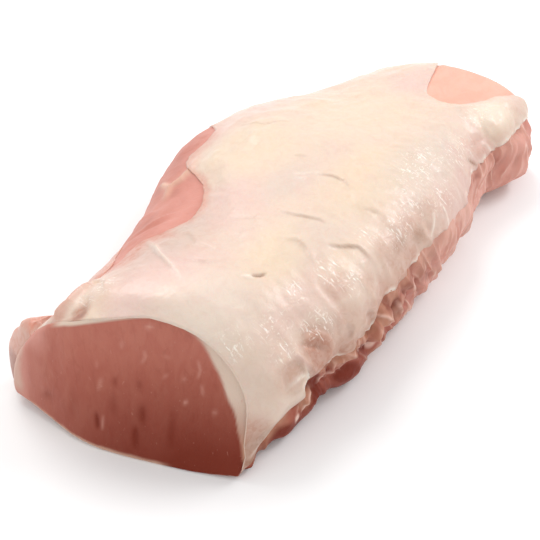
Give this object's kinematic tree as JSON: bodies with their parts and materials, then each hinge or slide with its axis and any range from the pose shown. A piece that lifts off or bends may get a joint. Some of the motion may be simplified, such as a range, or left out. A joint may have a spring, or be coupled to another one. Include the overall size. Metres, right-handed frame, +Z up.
{
  "type": "pork short loin",
  "caption": "Raw boneless pork loin piece lying fat side up, with a cut lean face at each end, a pale fat cap on top and a ragged trimmed side.",
  "frame": {"origin": "under the middle of the piece's box, on the surface that it lies on", "axes": "+X along the loin from the near, larger cut face to the far one, +Y towards the smooth belly side, +Z up through the fat cap"},
  "size_m": [0.3784, 0.1932, 0.0808],
  "materials": {
    "lean_meat": "moist, faintly marbled muscle with a satin gloss",
    "fat": "moist pale fat, cream to light pink, with a soft gloss",
    "side_fat": "moist cream and pink side fat with a soft gloss"
  },
  "bodies": {
    "root": {"loin_muscle": "lean_meat", "fat_cap": "fat", "side_fat_roll": "side_fat"}
  },
  "joints": []
}
